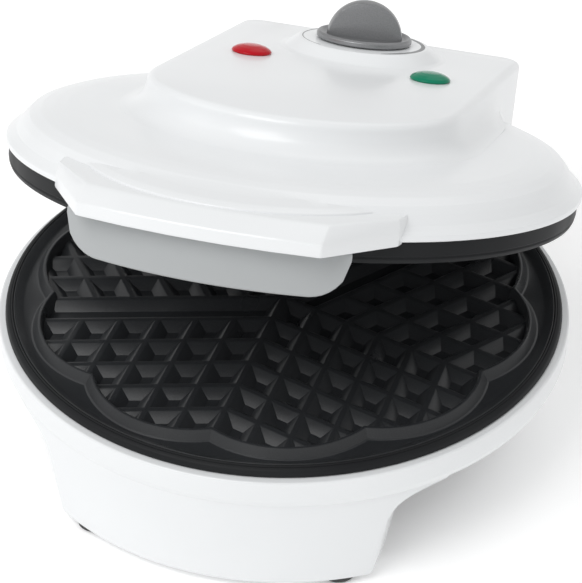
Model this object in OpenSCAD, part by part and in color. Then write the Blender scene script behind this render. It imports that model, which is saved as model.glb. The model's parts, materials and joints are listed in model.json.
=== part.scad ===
// Heart waffle maker with a round five-heart mould, a hinged lid and a thermostat knob.
// Shapes are drawn about the mould's axis with z = 0 at the parting plane between the two
// plates and the lid closed; in_base(), in_lid() and in_knob() put them in the part's frame,
// whose origin is on the floor under the middle of the width and depth.
// The front, with the handle, faces -Y and the hinge axis runs along X.

/* [Overall] */
// Height of the parting plane above the floor
parting_h = 54; // [50:1:70]
// Outer radius of the black ring round each plate
bezel_r = 99.6; // [96:0.2:125]
// How far the white rim of the base stands out past the black ring
rim_step = 2.4; // [1.6:0.2:4]
// How far the lid's lip stands out past the black ring
lip_step = 1.2; // [0.8:0.2:3]
// How far the lid stands open at rest, in degrees
open_angle = 20; // [0:1:60]

/* [Mould] */
// Furthest reach of the mould's lobes from the centre
lobe_reach = 88; // [84:0.5:88.5]
// Radius of one lobe
lobe_r = 34.8; // [33:0.2:38]
// Depth of the mould below its lip
mould_depth = 6; // [5:0.5:8]
// Height of the ridges above the mould's floor
ridge_h = 3; // [2:0.5:4]
// Width of a ridge
ridge_w = 1.8; // [1.2:0.2:3]
// Distance from ridge to ridge
ridge_pitch = 12.8; // [11:0.2:16]
// Width of the mould's raised lip
lip_w = 2.4; // [2:0.1:3.5]
// Height of the lip above the plate's flange
lip_h = 3.3; // [2.5:0.1:4]
// Half of the gap between the two closed lips
half_gap = 0.3; // [0.3:0.1:1]
// Thickness of the plate under the mould's floor
plate_back = 3.2; // [2.5:0.1:5]

/* [Base] */
// Height of the base's white rim
rim_h = 11.8; // [10:0.2:16]
// Wall of the plastic housings
wall = 2.4; // [2:0.1:3]
// Depth of the bowl below the parting plane
bowl_depth = 34.5; // [34:0.5:38]
// Radius of the bowl at its bottom
bowl_r = 78; // [74:0.5:82]
// Half width of a leg at the floor
leg_half = 56; // [48:1:62]
// How much wider a leg is at its top, on each side
leg_flare = 6.5; // [2:0.5:12]
// How far a leg's face leans in from top to bottom
leg_lean = 2.4; // [1:0.2:6]
// Depth of a leg from face to back
leg_depth = 15; // [13:0.5:20]
// Height of the rubber feet below the legs
foot_h = 2.2; // [1:0.1:5]
// Radius of a rubber foot
foot_r = 6; // [5:0.5:8]

/* [Hinge] */
// Distance of the hinge axis behind the black ring
hinge_back = 12.9; // [12:0.1:20]
// Height of the hinge axis below the parting plane
hinge_drop = 7; // [6:0.5:10]
// Radius of the hinge pins
pin_r = 2.5; // [2:0.1:3]
// Running clearance between pin and lid ear
pin_fit = 0.06; // [0.03:0.01:0.1]
// Half width of the hinge tower on the base
tower_half = 33.5; // [28:0.5:36]
// Radius of the tower round the hinge axis
tower_r = 7; // [6:0.5:8]
// Side gap between the tower and a lid ear
ear_gap = 0.8; // [0.5:0.1:2]
// Thickness of a lid ear
ear_t = 11; // [8:0.5:13]

/* [Lid] */
// Height of the lid's lower edge above the parting plane
lid_edge_z = 9; // [8.5:0.5:12]
// Height of the lid's lip band
lip_band = 2.6; // [2:0.2:4]
// Height of the dome at its middle
dome_z = 22.4; // [21:0.2:30]
// Half width of the raised platform
deck_half = 56; // [52:0.5:60]
// Height of the platform's top
deck_z = 34.5; // [32:0.5:42]
// Radius of the platform's rounded front
deck_front_r = 58; // [56:0.5:64]
// Centre of that rounding behind the mould's axis
deck_front_y = 12; // [6:0.5:20]
// Overhang of the platform behind the hinge axis
deck_rear = 7.5; // [5:0.5:9]
// Radius of the platform's rear corners
deck_corner = 8; // [5:0.5:12]

/* [Handle] */
// Half width of the handle at its root
handle_root = 58; // [52:1:62]
// Half width of the handle at its front face
handle_tip = 39; // [34:1:46]
// Reach of the handle in front of the black ring
handle_reach = 17.4; // [15:0.2:26]
// Height of the handle's underside above the parting plane
handle_z = 8; // [7:0.5:10]
// Thickness of the handle
handle_t = 9; // [7:0.5:12]
// Half width of the finger tongue
tongue_half = 47; // [38:1:50]
// How far the tongue hangs below the handle
tongue_drop = 15; // [10:0.5:18]
// Thickness of the tongue
tongue_t = 2; // [1.5:0.1:3]

/* [Knob and lamps] */
// Distance of the knob's axis behind the mould's axis
knob_y = 86; // [80:0.5:88]
// Radius of the knob's skirt
skirt_r = 18; // [16:0.5:20]
// Thickness of the skirt
skirt_t = 2.5; // [2:0.1:4]
// Height of the fin above the skirt
fin_h = 12.6; // [10:0.2:16]
// Thickness of the fin
fin_t = 7; // [5:0.5:9]
// Turn of the fin from the lid's width at rest, in degrees
fin_turn = 17; // [0:1:90]
// Radius of the collar at its foot
collar_r = 30; // [26:0.5:32]
// Height of the collar above the platform
collar_h = 4; // [3:0.5:6]
// Air gap between the collar and the knob
knob_gap = 0.4; // [0.3:0.1:1]
// Radius of the thermostat's spindle
spindle_r = 3; // [2.5:0.1:3.5]
// Running clearance of the spindle
spindle_fit = 0.06; // [0.03:0.01:0.1]
// Radius of a lamp lens
lens_r = 7.5; // [6:0.5:9]
// Height of a lens above the platform
lens_h = 3; // [2:0.2:4]
// Distance of each lamp from the middle
lamp_x = 34; // [30:0.5:40]
// Distance of the lamps behind the mould's axis
lamp_y = 52; // [40:1:60]

/* [Heating] */
// Radius of the heating element's loop
heater_loop = 58; // [50:1:66]
// Radius of the heating element's tube
heater_r = 3.2; // [2.8:0.1:3.6]
// Thickness of the reflector's sheet
sheet_t = 0.8; // [0.6:0.1:1.2]

/* [Small parts] */
// General fit between parts that are screwed together
fit = 0.05; // [0.02:0.01:0.2]
// Radius of a small screw's shank
screw_r = 1.4; // [1.2:0.1:1.8]
// Radius of a small screw's head
head_r = 2.6; // [2.4:0.1:3]
// Radius of the hole for the mains lead
lead_r = 3.2; // [2.5:0.1:4.2]

/* [Hidden] */
$fn = 96;
eps = 0.01;

white = "whitesmoke";
black = "#2b2c2e";
steel = "silver";

hearts = 5;
rim_r = bezel_r + rim_step;
lip_r = bezel_r + lip_step;
heart_angle = 360 / hearts;
lobe_centre = lobe_reach - lobe_r;
floor_z = half_gap + mould_depth;
flange_z = half_gap + lip_h;
back_z = floor_z + plate_back;
seam_r = bezel_r - 3.1;
edge_z = half_gap + 1.2;
shelf_z = floor_z + 0.7;
shelf_t = 1.8;
shelf_r = bezel_r - 11.6;
collar_gap = 0.2;
lid_low_z = max(lid_edge_z, shelf_z + shelf_t + collar_gap);
skirt_in_r = bezel_r - 2.4;
rest_z = half_gap + 4.6;
plate_screw_r = bezel_r - 7.2;
post_r = bezel_r - 6.6;

hinge_y = bezel_r + hinge_back;
hinge_z = -hinge_drop;
deck_back = hinge_y + deck_rear;
leg_foot_z = foot_h - parting_h;
leg_top_z = -rest_z - rim_h + 1.5;
leg_r = rim_r - 1;
foot_x = leg_half - 12;
foot_ring = leg_r - leg_lean - 6.7;
foot_y = sqrt(foot_ring * foot_ring - foot_x * foot_x);
ear_x = tower_half + ear_gap;
ear_r = tower_r + 0.5;
pin_depth = 9;
lower_rear_z = 12 - hinge_drop;
collar_z = deck_z + collar_h;
skirt_z = collar_z + knob_gap;
handle_front = bezel_r + handle_reach;
tongue_r = rim_r + 9;
tongue_screw_x = 30;
tongue_screw_y = sqrt(pow(tongue_r - 4.6, 2) - pow(tongue_screw_x, 2));
cover_screw_r = bowl_r - 4.5;
under_z = -rest_z - rim_h;
gland_z = -bowl_depth - 3;
pan_z = back_z + 2 * heater_r + 1.8;
roof_z = deck_z - wall;
bracket_screw_x = 11;
element_gap = 30;

// Middle of the depth, from the base's front rim to the lid's raised rear edge
rear_reach = hinge_y + deck_rear * cos(open_angle) + (deck_z - hinge_z) * sin(open_angle);
mid_y = (rear_reach - rim_r) / 2;

module in_base() { translate([0, -mid_y, parting_h]) children(); }

module in_lid() {
    in_base()
        translate([0, hinge_y, hinge_z])
            rotate([-open_angle, 0, 0])
                translate([0, -hinge_y, -hinge_z]) children();
}

module in_knob() {
    in_lid() translate([0, knob_y, 0]) rotate([0, 0, fin_turn]) children();
}

// ---- Shapes shared by both halves; drawn for the lower half, mirrored for the upper ----

module around(radius, count, start = 0) {
    for (i = [0 : count - 1])
        rotate([0, 0, start + i * 360 / count]) translate([0, -radius, 0]) children();
}

// Four places clear of the legs where the black ring is held
module at_posts() {
    for (angle = [60, 120, 240, 300])
        rotate([0, 0, angle]) translate([0, -post_r, 0]) children();
}

module bar_x(radius, from_x, to_x) {
    translate([from_x, 0, 0]) rotate([0, 90, 0]) cylinder(r = radius, h = to_x - from_x);
}

// Ten lobes round a middle, two to a heart, grown outwards by grow, with one flat top and one flat floor
module lobes(z0, z1, grow) {
    intersection() {
        translate([0, 0, z0]) cylinder(r = lobe_reach + grow + 1, h = z1 - z0);
        translate([0, 0, z0 - 1]) {
            cylinder(r = lobe_centre + 6, h = z1 - z0 + 2);
            around(lobe_centre, 2 * hearts, heart_angle / 4)
                cylinder(r = lobe_r + grow, h = z1 - z0 + 2);
        }
    }
}

// Ridges of one heart: two sets of bars along its two edges, with a plain band on one side
module heart_bars(band) {
    reach = lobe_reach + 4;
    rows = floor(reach * sin(heart_angle) / ridge_pitch);
    first = ridge_pitch / sin(heart_angle);
    for (k = [1 : rows]) {
        low = band < 0 ? first : 0;
        high = band > 0 ? first : 0;
        translate([ridge_pitch * k - ridge_w / 2, 0, 0])
            translate([0, -reach, 0])
                cube([ridge_w, reach - k * ridge_pitch / tan(heart_angle) - low, ridge_h + 2]);
        rotate([0, 0, heart_angle])
            translate([-ridge_pitch * k - ridge_w / 2, -reach, 0])
                cube([ridge_w, reach - k * ridge_pitch / tan(heart_angle) - high, ridge_h + 2]);
    }
}

module mould_ridges() {
    bands = [0, 1, 1, -1, -1];
    intersection() {
        translate([0, 0, -floor_z - 1]) {
            for (i = [0 : hearts - 1])
                rotate([0, 0, i * heart_angle]) {
                    heart_bars(bands[i]);
                    translate([-ridge_w / 2, -2 * lobe_reach, 0])
                        cube([ridge_w, 2 * lobe_reach, ridge_h + 2]);
                }
            cylinder(r = ridge_w + 1, h = ridge_h + 2);
        }
        lobes(-floor_z - 0.5, ridge_h - floor_z, lip_w / 2);
    }
}

module mould_plate() {
    difference() {
        union() {
            rotate_extrude()
                polygon([[0, -back_z], [shelf_r - 2, -back_z], [shelf_r - 2, -shelf_z],
                         [seam_r - collar_gap, -shelf_z], [seam_r - collar_gap, -edge_z],
                         [lobe_reach + lip_w + 1.5, -flange_z], [0, -flange_z]]);
            lobes(-flange_z - 0.5, -half_gap, lip_w);
        }
        lobes(-floor_z, 1, 0);
        around(plate_screw_r, hearts, heart_angle / 2)
            translate([0, 0, -shelf_z - 1]) cylinder(r = screw_r + fit, h = 2.6, $fn = 32);
    }
    mould_ridges();
}

module bezel() {
    difference() {
        rotate_extrude()
            polygon([[seam_r, -edge_z], [seam_r + 0.5, -edge_z + 0.1], [bezel_r - 0.6, -rest_z + 1.4],
                     [bezel_r, -rest_z], [skirt_in_r, -rest_z], [skirt_in_r, -shelf_z - shelf_t],
                     [shelf_r, -shelf_z - shelf_t], [shelf_r, -shelf_z - fit], [seam_r, -shelf_z - fit]]);
        around(plate_screw_r, hearts, heart_angle / 2)
            translate([0, 0, -shelf_z - shelf_t - 1]) cylinder(r = screw_r + 0.3, h = 9, $fn = 32);
    }
}

module plate_screw_set() {
    around(plate_screw_r, hearts, heart_angle / 2) translate([0, 0, -shelf_z - shelf_t - fit - 1.6]) {
        cylinder(r = head_r, h = 1.6, $fn = 32);
        cylinder(r = screw_r, h = 1.6 + shelf_t + 1.4, $fn = 32);
    }
}

module heater_coil() {
    centre_z = -back_z - fit - heater_r - 0.3;
    translate([0, 0, centre_z]) {
        rotate([0, 0, 90 + element_gap / 2])
            rotate_extrude(angle = 360 - element_gap)
                translate([heater_loop, 0]) circle(r = heater_r, $fn = 48);
        for (side = [-1, 1])
            rotate([0, 0, side * element_gap / 2]) translate([0, heater_loop, 0]) {
                sphere(r = heater_r + 0.3, $fn = 48);
                translate([0, 0, -11]) cylinder(r = heater_r - 0.8, h = 11, $fn = 48);
            }
    }
}

module reflector_pan() {
    pan_r = heater_loop + 16;
    difference() {
        rotate_extrude()
            polygon([[0, -pan_z], [pan_r, -pan_z], [pan_r, -back_z - fit - sheet_t],
                     [pan_r + 7, -back_z - fit - sheet_t], [pan_r + 7, -back_z - fit],
                     [pan_r - sheet_t, -back_z - fit], [pan_r - sheet_t, -pan_z + sheet_t],
                     [0, -pan_z + sheet_t]]);
        for (side = [-1, 1])
            rotate([0, 0, side * element_gap / 2]) translate([0, heater_loop, -pan_z - 1])
                cylinder(r = heater_r, h = sheet_t + 2, $fn = 48);
    }
}

// ---- Base ----

module leg_block(shrink, depth_from, top) {
    bottom = leg_foot_z - (shrink > 0 ? 1 : 0);
    slope = leg_flare / (leg_top_z - leg_foot_z);
    intersection() {
        rotate_extrude()
            polygon([[depth_from, bottom], [leg_r - leg_lean - shrink, bottom],
                     [leg_r - shrink, leg_top_z], [leg_r - shrink, top], [depth_from, top]]);
        rotate([90, 0, 0]) linear_extrude(height = 2 * leg_r)
            polygon([[-leg_half + shrink, bottom], [leg_half - shrink, bottom],
                     [leg_half - shrink + slope * (top - bottom), top],
                     [-leg_half + shrink - slope * (top - bottom), top]]);
    }
}

module leg() {
    back_r = leg_r - leg_depth;
    difference() {
        leg_block(0, back_r, leg_top_z);
        difference() {
            leg_block(wall, back_r + wall, leg_top_z - 4);
            for (side = [-1, 1])
                translate([side * foot_x, -foot_y, leg_foot_z - 2]) cylinder(r = foot_r - 0.5, h = 80);
        }
        for (side = [-1, 1])
            translate([side * foot_x, -foot_y, leg_foot_z - 1]) cylinder(r = 2 + fit, h = 8, $fn = 32);
    }
}

module bowl_shell() {
    knee_r = rim_r - 12.2;
    side_r = bowl_r + 6.5;
    side_z = under_z - 6;
    rotate_extrude()
        polygon([[skirt_in_r + collar_gap, -rest_z - fit], [rim_r - 0.8, -rest_z - fit],
                 [rim_r, -rest_z - 0.8], [rim_r, under_z + 4], [rim_r - 1, under_z + 1.6],
                 [rim_r - 3.4, under_z], [knee_r, under_z], [side_r, side_z],
                 [bowl_r, -bowl_depth], [bowl_r - 9, -bowl_depth], [bowl_r - 9, -bowl_depth + wall],
                 [bowl_r - 2.2, -bowl_depth + wall], [side_r - 2.1, side_z + 1.4],
                 [knee_r - 0.8, under_z + wall], [skirt_in_r + collar_gap, under_z + wall]]);
}

module tower_profile(shrink) {
    foot = -bowl_depth - 2;
    rotate([90, 0, 90])
        translate([0, 0, -tower_half + shrink])
            linear_extrude(height = 2 * (tower_half - shrink))
                polygon([[leg_r - 8, foot - shrink], [leg_r - 2, foot - shrink],
                         [hinge_y + tower_r - shrink, hinge_z - 12],
                         [hinge_y + tower_r - shrink, hinge_z - shrink],
                         [leg_r - 8, hinge_z - shrink]]);
}

module base_posts() {
    at_posts()
        translate([0, 0, -rest_z - rim_h]) cylinder(r = 3.4, h = rest_z + rim_h - shelf_z - shelf_t - fit);
}

module base_housing() {
    color(white) in_base() difference() {
        union() {
            bowl_shell();
            base_posts();
            leg();
            mirror([0, 1, 0]) leg();
            difference() {
                union() {
                    tower_profile(0);
                    translate([0, hinge_y, hinge_z]) bar_x(tower_r, -tower_half, tower_half);
                }
                difference() {
                    union() {
                        intersection() {
                            tower_profile(3);
                            translate([-100, leg_r - 2, -100]) cube([200, 100, 200]);
                        }
                        translate([0, hinge_y, hinge_z])
                            bar_x(tower_r - 2.5, pin_depth - tower_half, tower_half - pin_depth);
                    }
                    for (side = [0, 1])
                        mirror([side, 0, 0]) translate([0, hinge_y, hinge_z])
                            bar_x(tower_r, tower_half - pin_depth, tower_half);
                }
                cylinder(r = skirt_in_r + collar_gap, h = 60, center = true);
            }
        }
        translate([0, hinge_y, hinge_z]) bar_x(pin_r + fit / 5, -tower_half - 1, tower_half + 1);
        at_posts()
            translate([0, 0, under_z - 1]) cylinder(r = screw_r + 0.2, h = 20, $fn = 32);
        around(cover_screw_r, hearts)
            translate([0, 0, -bowl_depth - 1]) cylinder(r = screw_r + fit, h = wall + 2, $fn = 32);
        translate([0, leg_r - leg_depth - 1, gland_z]) rotate([-90, 0, 0])
            cylinder(r = lead_r + 2.3, h = leg_depth + 8);
    }
}

module bottom_cover() {
    color(black) in_base() translate([0, 0, -bowl_depth - fit - 2]) difference() {
        cylinder(r = bowl_r - 0.6, h = 2);
        around(cover_screw_r, hearts) translate([0, 0, -1]) cylinder(r = screw_r + 0.3, h = 4, $fn = 32);
        for (row = [-2 : 2])
            translate([-20, row * 8 - 1.5, -1]) cube([40, 3, 4]);
    }
}

module cover_screws() {
    color(steel) in_base() around(cover_screw_r, hearts)
        translate([0, 0, -bowl_depth - 2 * fit - 3.6]) {
            cylinder(r = head_r, h = 1.6, $fn = 32);
            cylinder(r = screw_r, h = 1.6 + 2 + wall, $fn = 32);
        }
}

module bezel_screws() {
    color(steel) in_base() at_posts()
        translate([0, 0, under_z - fit - 1.6]) {
            cylinder(r = head_r, h = 1.6, $fn = 32);
            cylinder(r = screw_r, h = 1.6 - under_z - shelf_z - shelf_t + 0.4, $fn = 32);
        }
}

module lower_bezel() {
    color(black) in_base() difference() {
        bezel();
        at_posts()
            translate([0, 0, -shelf_z - shelf_t - 1]) cylinder(r = screw_r + fit, h = shelf_t, $fn = 32);
    }
}

module lower_plate() { color(black) in_base() mould_plate(); }

module lower_plate_screws() { color(steel) in_base() plate_screw_set(); }

module lower_heater() { color(steel) in_base() heater_coil(); }

module lower_reflector() { color(steel) in_base() reflector_pan(); }

module terminal_block() {
    color("ivory") in_base() translate([-16, 34, -bowl_depth + fit]) difference() {
        cube([32, 14, 11]);
        for (way = [0 : 2])
            translate([6 + 10 * way, -1, 6]) rotate([-90, 0, 0]) cylinder(r = 2, h = 16, $fn = 32);
    }
}

module thermal_fuse() {
    color(steel) in_base() translate([0, -30, -pan_z - fit - 2.4]) bar_x(2.4, -8, 8);
}

module foot(side, end) {
    color(black) in_base() translate([side * foot_x, end * foot_y, -parting_h]) {
        cylinder(r = foot_r, h = foot_h - fit);
        cylinder(r = 2, h = foot_h + 6, $fn = 32);
    }
}

module front_foot_left() { foot(-1, -1); }
module front_foot_right() { foot(1, -1); }
module rear_foot_left() { foot(-1, 1); }
module rear_foot_right() { foot(1, 1); }

module hinge_pin() {
    translate([0, hinge_y, hinge_z]) bar_x(pin_r, tower_half - pin_depth, ear_x + ear_t - 1);
}

module hinge_pin_left() { color(steel) in_base() mirror([1, 0, 0]) hinge_pin(); }
module hinge_pin_right() { color(steel) in_base() hinge_pin(); }

module cord_gland() {
    face_y = leg_r - leg_lean * (leg_top_z - gland_z) / (leg_top_z - leg_foot_z);
    color(black) in_base() translate([0, face_y, gland_z]) rotate([-90, 0, 0]) difference() {
        union() {
            translate([0, 0, -wall - 2]) cylinder(r = lead_r + 2.2, h = wall + 2 + 9);
            translate([0, 0, 0.4]) cylinder(r = lead_r + 4, h = 2);
            translate([0, 0, 0.4]) cylinder(r1 = lead_r + 3, r2 = lead_r + 1.4, h = 12);
        }
        translate([0, 0, -wall - 3]) cylinder(r = lead_r, h = wall + 3 + 14);
    }
}

// ---- Lid ----

module deck_outline(inset) {
    intersection() {
        union() {
            translate([0, deck_front_y]) circle(r = deck_front_r - inset);
            translate([-deck_half, deck_front_y])
                square([2 * deck_half, deck_back - deck_front_y - deck_corner]);
            translate([-deck_half + deck_corner, deck_front_y])
                square([2 * (deck_half - deck_corner), deck_back - deck_front_y - inset]);
            for (side = [-1, 1])
                translate([side * (deck_half - deck_corner), deck_back - deck_corner])
                    circle(r = deck_corner - inset);
        }
        translate([-deck_half + inset, -deck_front_r])
            square([2 * (deck_half - inset), deck_back + deck_front_r]);
    }
}

// The dome's outside from its lip to the top, as a share of the run from lip to platform
function dome_curve(z_low, z_top, r_out, r_in) =
    [for (a = [0 : 15 : 90]) [r_in + (r_out - r_in) * pow(cos(a), 0.5),
                              z_low + (z_top - z_low) * pow(sin(a), 0.9)]];

module dome_solid(inset) {
    step_r = lip_r - 2.8;
    rotate_extrude()
        polygon(concat(
            inset > 0 ? [[0, lid_low_z - 1], [step_r - inset, lid_low_z - 1]]
                      : [[0, lid_low_z], [lip_r - 0.8, lid_low_z], [lip_r, lid_low_z + 0.8],
                         [lip_r, lid_low_z + lip_band - 0.6], [lip_r - 0.8, lid_low_z + lip_band]],
            dome_curve(lid_low_z + lip_band + 1, dome_z - inset, step_r - inset, bowl_r - 14),
            [[0, dome_z - inset]]));
}

module handle_solid() {
    centre_y = -5;
    tip_r = handle_front + centre_y;
    crease_r = tip_r - 8;
    top_z = handle_z + handle_t;
    difference() {
        intersection() {
            translate([0, 0, handle_z - 1]) linear_extrude(height = handle_t + 2)
                polygon([[-handle_root, -60], [-handle_root, -bezel_r + 31], [-handle_tip - 3, -bezel_r - 5],
                         [-handle_tip, -handle_front], [handle_tip, -handle_front],
                         [handle_tip + 3, -bezel_r - 5], [handle_root, -bezel_r + 31], [handle_root, -60]]);
            translate([0, centre_y, 0]) rotate_extrude()
                polygon([[50, handle_z], [tip_r - 1, handle_z], [tip_r, handle_z + 4.6],
                         [crease_r, top_z], [50, top_z]]);
        }
        translate([0, 0, handle_z - 1]) cylinder(r = bezel_r + fit, h = lid_low_z - handle_z + 1.8);
    }
}

module ear() {
    translate([0, hinge_y, hinge_z]) bar_x(ear_r, ear_x, ear_x + ear_t);
    translate([ear_x, hinge_y - ear_r, hinge_z]) cube([ear_t, ear_r + deck_rear, lower_rear_z - hinge_z + 4]);
}

module lid_posts() {
    at_posts()
        translate([0, 0, shelf_z + shelf_t + fit]) cylinder(r = 3.4, h = dome_z - shelf_z - shelf_t - 5);
}

module lid_housing() {
    color(white) in_lid() difference() {
        union() {
            difference() {
                union() {
                    dome_solid(0);
                    translate([0, 0, lid_low_z]) linear_extrude(height = deck_z - lid_low_z)
                        deck_outline(0);
                    intersection() {
                        translate([0, 0, lower_rear_z]) linear_extrude(height = deck_z - lower_rear_z)
                            deck_outline(0);
                        translate([-100, lip_r + 0.6, 0]) cube([200, 100, 100]);
                    }
                    handle_solid();
                }
                dome_solid(wall);
                translate([0, 0, lid_low_z - 1])
                    linear_extrude(height = deck_z - wall - lid_low_z + 1) intersection() {
                        deck_outline(wall);
                        circle(r = lip_r - 2.8 - wall);
                    }
                intersection() {
                    translate([0, 0, lower_rear_z + wall])
                        linear_extrude(height = deck_z - wall - lower_rear_z - wall) deck_outline(wall);
                    translate([-100, lip_r - 12, 0]) cube([200, 100, 100]);
                }
            }
            translate([0, knob_y, deck_z - eps])
                cylinder(r1 = collar_r, r2 = collar_r - 5.4, h = collar_h + eps);
            ear();
            mirror([1, 0, 0]) ear();
            intersection() {
                lid_posts();
                dome_solid(0);
            }
        }
        translate([0, hinge_y, hinge_z])
            bar_x(pin_r + pin_fit, -ear_x - ear_t - 1, ear_x + ear_t + 1);
        translate([0, knob_y, deck_z - 10]) cylinder(r = spindle_r + 2, h = 20);
        for (side = [-1, 1]) {
            translate([side * lamp_x, lamp_y, deck_z - 10]) cylinder(r = 4 + fit, h = 20, $fn = 48);
            translate([side * bracket_screw_x, knob_y, deck_z - 10])
                cylinder(r = screw_r + 0.3, h = 20, $fn = 32);
            translate([side * bracket_screw_x, knob_y, collar_z - 2])
                cylinder(r = head_r + 0.3, h = 4, $fn = 32);
            translate([side * tongue_screw_x, -tongue_screw_y, handle_z - 1])
                cylinder(r = screw_r + fit, h = 7, $fn = 32);
        }
    }
}

module upper_bezel() {
    color(black) in_lid() {
        mirror([0, 0, 1]) bezel();
        rotate_extrude()
            polygon([[skirt_in_r, rest_z - 0.5], [bezel_r, rest_z - 0.5], [bezel_r, lid_low_z - fit],
                     [skirt_in_r, lid_low_z - fit]]);
    }
}

module upper_plate() { color(black) in_lid() mirror([0, 0, 1]) mould_plate(); }

module upper_plate_screws() { color(steel) in_lid() mirror([0, 0, 1]) plate_screw_set(); }

module upper_heater() { color(steel) in_lid() mirror([0, 0, 1]) heater_coil(); }

module upper_reflector() { color(steel) in_lid() mirror([0, 0, 1]) reflector_pan(); }

module handle_tongue() {
    corner = 12;
    low = handle_z - fit - tongue_drop;
    color(white) in_lid() difference() {
        intersection() {
            rotate_extrude()
                polygon([[tongue_r - 8, handle_z - fit], [tongue_r - 8, handle_z - fit - tongue_t],
                         [tongue_r - tongue_t, handle_z - fit - tongue_t], [tongue_r - tongue_t, low],
                         [tongue_r, low], [tongue_r, handle_z - fit]]);
            rotate([90, 0, 0]) linear_extrude(height = 2 * tongue_r) union() {
                translate([-tongue_half, low + corner]) square([2 * tongue_half, tongue_drop]);
                translate([-tongue_half + corner, low - 1]) square([2 * (tongue_half - corner), corner + 5]);
                for (side = [-1, 1])
                    translate([side * (tongue_half - corner), low + corner]) circle(r = corner);
            }
        }
        for (side = [-1, 1])
            translate([side * tongue_screw_x, -tongue_screw_y, handle_z - 8])
                cylinder(r = screw_r + 0.2, h = 10, $fn = 32);
    }
}

module tongue_screws() {
    color(steel) in_lid() for (side = [-1, 1])
        translate([side * tongue_screw_x, -tongue_screw_y, handle_z - tongue_t - 2 * fit - 1.6]) {
            cylinder(r = head_r, h = 1.6, $fn = 32);
            cylinder(r = screw_r, h = 1.6 + tongue_t + 5, $fn = 32);
        }
}

module lens() {
    band = 0.8;
    cap = lens_h - band;
    ball_r = (lens_r * lens_r + cap * cap) / (2 * cap);
    difference() {
        union() {
            translate([0, 0, deck_z + fit]) cylinder(r = lens_r, h = band);
            intersection() {
                translate([0, 0, deck_z + fit + lens_h - ball_r]) sphere(r = ball_r);
                translate([0, 0, deck_z + fit + band]) cylinder(r = lens_r, h = lens_h);
            }
            translate([0, 0, deck_z - 7]) cylinder(r = 4, h = 8, $fn = 48);
        }
        translate([0, 0, deck_z - 8]) cylinder(r = 2.6, h = 7, $fn = 48);
    }
}

module red_lens() { color("#c00020") in_lid() translate([-lamp_x, lamp_y, 0]) lens(); }
module green_lens() { color("#008060") in_lid() translate([lamp_x, lamp_y, 0]) lens(); }

module lamp() {
    translate([0, 0, deck_z - 13]) cylinder(r = 2.3, h = 10.5, $fn = 48);
    translate([0, 0, deck_z - 2.5]) sphere(r = 2.3, $fn = 48);
}

module red_lamp() { color("mistyrose") in_lid() translate([-lamp_x, lamp_y, -1]) lamp(); }
module green_lamp() { color("honeydew") in_lid() translate([lamp_x, lamp_y, -1]) lamp(); }

module thermostat() {
    color("ivory") in_lid() translate([0, knob_y, 0]) difference() {
        union() {
            translate([0, 0, roof_z - 13.4]) cylinder(r = 10, h = 12);
            translate([0, 0, roof_z - 13.4]) cylinder(r = spindle_r + 1.8, h = 13.4 + wall + 1);
        }
        translate([0, 0, roof_z - 11]) cylinder(r = spindle_r + spindle_fit, h = 30);
    }
}

module thermostat_bracket() {
    color(steel) in_lid() translate([0, knob_y, roof_z - fit - 1.2]) difference() {
        translate([-17, -8, 0]) cube([34, 16, 1.2]);
        translate([0, 0, -1]) cylinder(r = spindle_r + 1.8 + fit, h = 4);
        for (side = [-1, 1])
            translate([side * bracket_screw_x, 0, -1]) cylinder(r = screw_r + fit, h = 4, $fn = 32);
    }
}

module thermostat_screws() {
    top = collar_z - 0.4;
    shank = collar_h + wall + 0.5;
    color(steel) in_lid() for (side = [-1, 1])
        translate([side * bracket_screw_x, knob_y, top - 1.6]) {
            cylinder(r = head_r, h = 1.6, $fn = 32);
            translate([0, 0, -shank + 1.2]) cylinder(r = screw_r, h = shank, $fn = 32);
        }
}

// ---- Knob ----

module thermostat_knob() {
    dome_r = skirt_r - 3.8;
    ball_r = (dome_r * dome_r + fin_h * fin_h) / (2 * fin_h);
    color(steel) in_knob() difference() {
        union() {
            difference() {
                translate([0, 0, skirt_z]) cylinder(r = skirt_r, h = skirt_t);
                translate([0, 0, skirt_z + skirt_t - 1]) cylinder(r = skirt_r - 1.6, h = 2);
            }
            intersection() {
                translate([0, 0, skirt_z + skirt_t + fin_h - ball_r]) sphere(r = ball_r);
                translate([-skirt_r, -fin_t / 2, skirt_z + 0.5]) cube([2 * skirt_r, fin_t, fin_h + 5]);
            }
        }
        translate([0, 0, skirt_z - 1]) cylinder(r = spindle_r + fit / 5, h = 10);
    }
}

module thermostat_spindle() {
    low = deck_z - wall - 10;
    color(steel) in_knob() translate([0, 0, low]) cylinder(r = spindle_r, h = skirt_z + 8.5 - low);
}

base_housing();
bottom_cover();
cover_screws();
lower_bezel();
bezel_screws();
lower_plate();
lower_plate_screws();
lower_heater();
lower_reflector();
terminal_block();
thermal_fuse();
front_foot_left();
front_foot_right();
rear_foot_left();
rear_foot_right();
hinge_pin_left();
hinge_pin_right();
cord_gland();
lid_housing();
upper_bezel();
upper_plate();
upper_plate_screws();
upper_heater();
upper_reflector();
handle_tongue();
tongue_screws();
red_lens();
green_lens();
red_lamp();
green_lamp();
thermostat();
thermostat_bracket();
thermostat_screws();
thermostat_knob();
thermostat_spindle();
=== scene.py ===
import json
import math

import bmesh
import bpy
from mathutils import Matrix, Vector


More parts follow.
